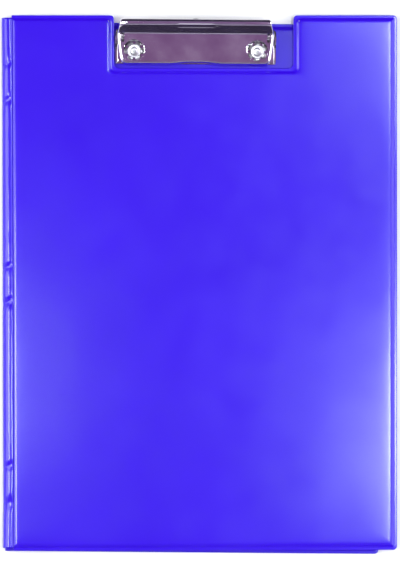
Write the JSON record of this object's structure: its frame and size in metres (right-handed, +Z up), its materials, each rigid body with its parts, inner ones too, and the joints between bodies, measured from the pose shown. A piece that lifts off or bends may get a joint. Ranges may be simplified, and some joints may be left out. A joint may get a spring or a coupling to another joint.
{
  "type": "fold-over clipboard",
  "caption": "Vinyl-covered fold-over clipboard: a stiff back panel with a chrome lever clip, and a notched front cover on a soft spine.",
  "frame": {"origin": "bottom centre of the shut folder's box, on the surface it lies on", "axes": "+Y from the foot of the board towards the clip, +X from the spine to the open edge, +Z up out of the front cover"},
  "size_m": [0.2526, 0.3418, 0.0187],
  "materials": {
    "vinyl_outer": "blue welded vinyl sheet, fine satin grain",
    "vinyl_lining": "blue vinyl lining, satin",
    "greyboard": "raw grey bookbinder's board",
    "chrome_plate": "bright nickel-chrome plate on pressed steel",
    "spring_steel": "drawn steel wire, semi-bright"
  },
  "bodies": {
    "back": {"back_outer_skin": "vinyl_outer", "back_board": "greyboard", "back_lining": "vinyl_lining", "clip_base": "chrome_plate", "hinge_rod": "spring_steel", "rivet_left": "chrome_plate", "rivet_right": "chrome_plate", "rivet_washer_left": "chrome_plate", "rivet_washer_right": "chrome_plate", "torsion_spring_left": "spring_steel", "torsion_spring_right": "spring_steel"},
    "spine": {"spine_skin": "vinyl_outer", "spine_lining": "vinyl_lining"},
    "cover": {"cover_outer_skin": "vinyl_outer", "cover_board": "greyboard", "cover_lining": "vinyl_lining", "cover_pocket": "vinyl_lining"},
    "jaw": {"clip_jaw": "chrome_plate"},
    "eye": {"hanging_eye": "chrome_plate"}
  },
  "joints": [
    {"name": "spine_fold", "type": "hinge", "parent": "back", "child": "spine", "pos_m": [-0.12421, -0.00068, 0.0013], "axis": [0.0105, -0.9999, 0], "range_deg": [0, 144.57]},
    {"name": "cover_fold", "type": "hinge", "parent": "spine", "child": "cover", "pos_m": [-0.11901, -0.00068, 0.005], "axis": [0.0105, -0.9999, 0], "range_deg": [0, 35.44]},
    {"name": "clip_press", "type": "hinge", "parent": "back", "child": "jaw", "pos_m": [-0.00381, 0.15482, 0.0073], "axis": [-1, 0, 0], "range_deg": [0, 32], "stiffness_Nm_per_rad": 0.25, "springref_deg": -28.65, "deforming": ["torsion_spring_left", "torsion_spring_right"]},
    {"name": "eye_slide", "type": "slide", "parent": "back", "child": "eye", "axis": [0, 1, 0], "range_m": [0, 0.0098]}
  ],
  "couplings": [
    {"joint": "cover_fold", "follows": "spine_fold", "ratio": 0.2451}
  ]
}
